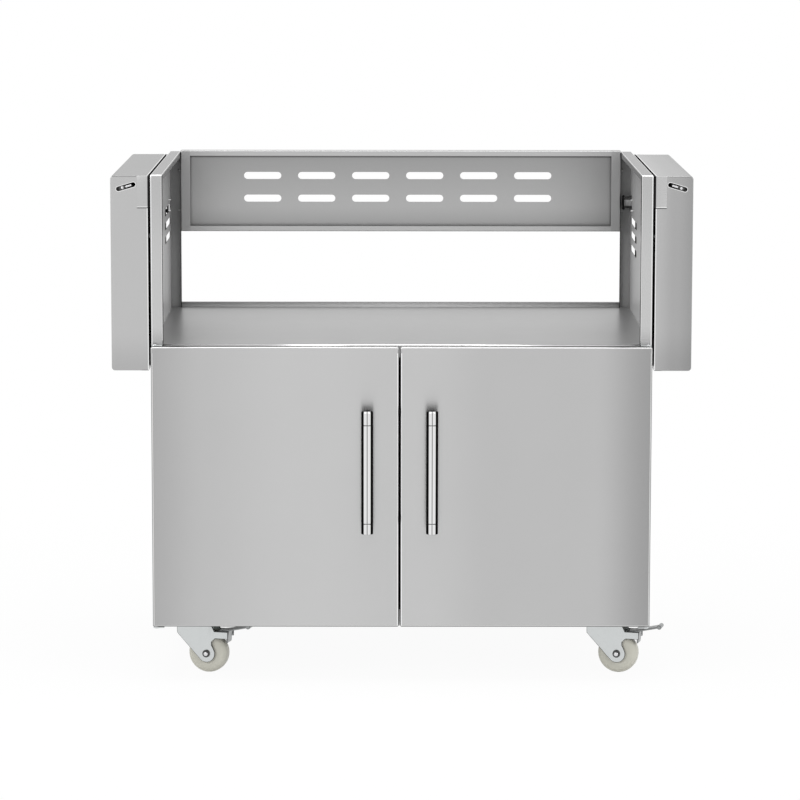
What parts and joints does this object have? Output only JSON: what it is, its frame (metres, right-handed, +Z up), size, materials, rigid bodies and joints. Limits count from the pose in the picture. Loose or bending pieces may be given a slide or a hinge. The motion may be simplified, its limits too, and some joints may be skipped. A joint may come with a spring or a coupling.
{
  "type": "grill cart",
  "caption": "Folded stainless cart for a built-in grill: open vented bay over a cabinet with two hinged doors, a fold-down shelf on each side, swivel casters.",
  "frame": {"origin": "on the floor, at the middle of the box around the cart with its shelves folded and its doors shut", "axes": "+X to the right as seen from the doors, +Y to the rear, +Z up"},
  "size_m": [1.061, 0.681, 0.937],
  "materials": {
    "sheet": "stainless sheet with a fine horizontal grain",
    "polished": "polished stainless steel",
    "zinc": "bright zinc plate",
    "nylon": "satin cream nylon",
    "rubber": "matte black rubber",
    "plastic": "dark moulded plastic"
  },
  "bodies": {
    "cart": {"left_side_panel": "sheet", "right_side_panel": "sheet", "rear_vent_panel": "sheet", "deck_pan": "sheet", "cabinet_floor": "sheet", "cabinet_back": "sheet", "front_top_rail": "sheet", "front_base_channel": "sheet", "rear_base_channel": "sheet", "gas_line_grommet": "rubber", "left_magnetic_catch": "plastic", "right_magnetic_catch": "plastic", "frame_screws": "polished", "caster_bolts": "zinc", "left_front_bracket": "sheet", "left_rear_bracket": "sheet", "right_front_bracket": "sheet", "right_rear_bracket": "sheet", "shelf_pins": "polished", "left_hinge_plates": "zinc", "right_hinge_plates": "zinc", "door_hinge_pins": "zinc", "front_left_caster_plate": "zinc", "front_right_caster_plate": "zinc", "rear_left_caster_plate": "zinc", "rear_right_caster_plate": "zinc"},
    "left_door": {"left_door_skin": "sheet", "left_door_liner": "sheet", "left_pivot_blocks": "plastic", "left_strike_plate": "zinc", "left_handle_tube": "polished", "left_handle_ends": "polished"},
    "right_door": {"right_door_skin": "sheet", "right_door_liner": "sheet", "right_pivot_blocks": "plastic", "right_strike_plate": "zinc", "right_handle_tube": "polished", "right_handle_ends": "polished"},
    "left_shelf": {"left_shelf_pan": "sheet", "left_shelf_stiffener": "sheet", "left_shelf_bushes": "plastic", "left_shelf_bumpers": "rubber"},
    "right_shelf": {"right_shelf_pan": "sheet", "right_shelf_stiffener": "sheet", "right_shelf_bushes": "plastic", "right_shelf_bumpers": "rubber"},
    "front_left_swivel": {"front_left_fork": "zinc", "front_left_axle": "zinc"},
    "front_left_roller": {"front_left_wheel": "nylon"},
    "front_left_pedal": {"front_left_brake": "zinc"},
    "front_right_swivel": {"front_right_fork": "zinc", "front_right_axle": "zinc"},
    "front_right_roller": {"front_right_wheel": "nylon"},
    "front_right_pedal": {"front_right_brake": "zinc"},
    "rear_left_swivel": {"rear_left_fork": "zinc", "rear_left_axle": "zinc"},
    "rear_left_roller": {"rear_left_wheel": "nylon"},
    "rear_right_swivel": {"rear_right_fork": "zinc", "rear_right_axle": "zinc"},
    "rear_right_roller": {"rear_right_wheel": "nylon"}
  },
  "joints": [
    {"name": "left_door_hinge", "type": "hinge", "parent": "cart", "child": "left_door", "pos_m": [-0.451, -0.2755, 0.35], "axis": [0, 0, -1], "range_deg": [0, 105]},
    {"name": "right_door_hinge", "type": "hinge", "parent": "cart", "child": "right_door", "pos_m": [0.451, -0.2755, 0.35], "axis": [0, 0, 1], "range_deg": [0, 105]},
    {"name": "left_shelf_hinge", "type": "hinge", "parent": "cart", "child": "left_shelf", "pos_m": [-0.5085, 0.02, 0.9095], "axis": [0, 1, 0], "range_deg": [0, 90]},
    {"name": "right_shelf_hinge", "type": "hinge", "parent": "cart", "child": "right_shelf", "pos_m": [0.5085, 0.02, 0.9095], "axis": [0, -1, 0], "range_deg": [0, 90]},
    {"name": "front_left_caster_swivel", "type": "hinge", "parent": "cart", "child": "front_left_swivel", "pos_m": [-0.382, -0.1885, 0.09], "axis": [0, 0, 1], "continuous": true},
    {"name": "front_left_wheel_spin", "type": "hinge", "parent": "front_left_swivel", "child": "front_left_roller", "pos_m": [-0.35785, -0.19497, 0.0375], "axis": [0.2588, 0.9659, 0], "continuous": true},
    {"name": "front_left_brake_pivot", "type": "hinge", "parent": "front_left_swivel", "child": "front_left_pedal", "pos_m": [-0.33564, -0.20092, 0.075], "axis": [0.2588, 0.9659, 0], "range_deg": [0, 5]},
    {"name": "front_right_caster_swivel", "type": "hinge", "parent": "cart", "child": "front_right_swivel", "pos_m": [0.382, -0.1885, 0.09], "axis": [0, 0, 1], "continuous": true},
    {"name": "front_right_wheel_spin", "type": "hinge", "parent": "front_right_swivel", "child": "front_right_roller", "pos_m": [0.40615, -0.19497, 0.0375], "axis": [0.2588, 0.9659, 0], "continuous": true},
    {"name": "front_right_brake_pivot", "type": "hinge", "parent": "front_right_swivel", "child": "front_right_pedal", "pos_m": [0.42836, -0.20092, 0.075], "axis": [0.2588, 0.9659, 0], "range_deg": [0, 5]},
    {"name": "rear_left_caster_swivel", "type": "hinge", "parent": "cart", "child": "rear_left_swivel", "pos_m": [-0.382, 0.2625, 0.09], "axis": [0, 0, 1], "continuous": true},
    {"name": "rear_left_wheel_spin", "type": "hinge", "parent": "rear_left_swivel", "child": "rear_left_roller", "pos_m": [-0.35785, 0.25603, 0.0375], "axis": [0.2588, 0.9659, 0], "continuous": true},
    {"name": "rear_right_caster_swivel", "type": "hinge", "parent": "cart", "child": "rear_right_swivel", "pos_m": [0.382, 0.2625, 0.09], "axis": [0, 0, 1], "continuous": true},
    {"name": "rear_right_wheel_spin", "type": "hinge", "parent": "rear_right_swivel", "child": "rear_right_roller", "pos_m": [0.40615, 0.25603, 0.0375], "axis": [0.2588, 0.9659, 0], "continuous": true}
  ]
}
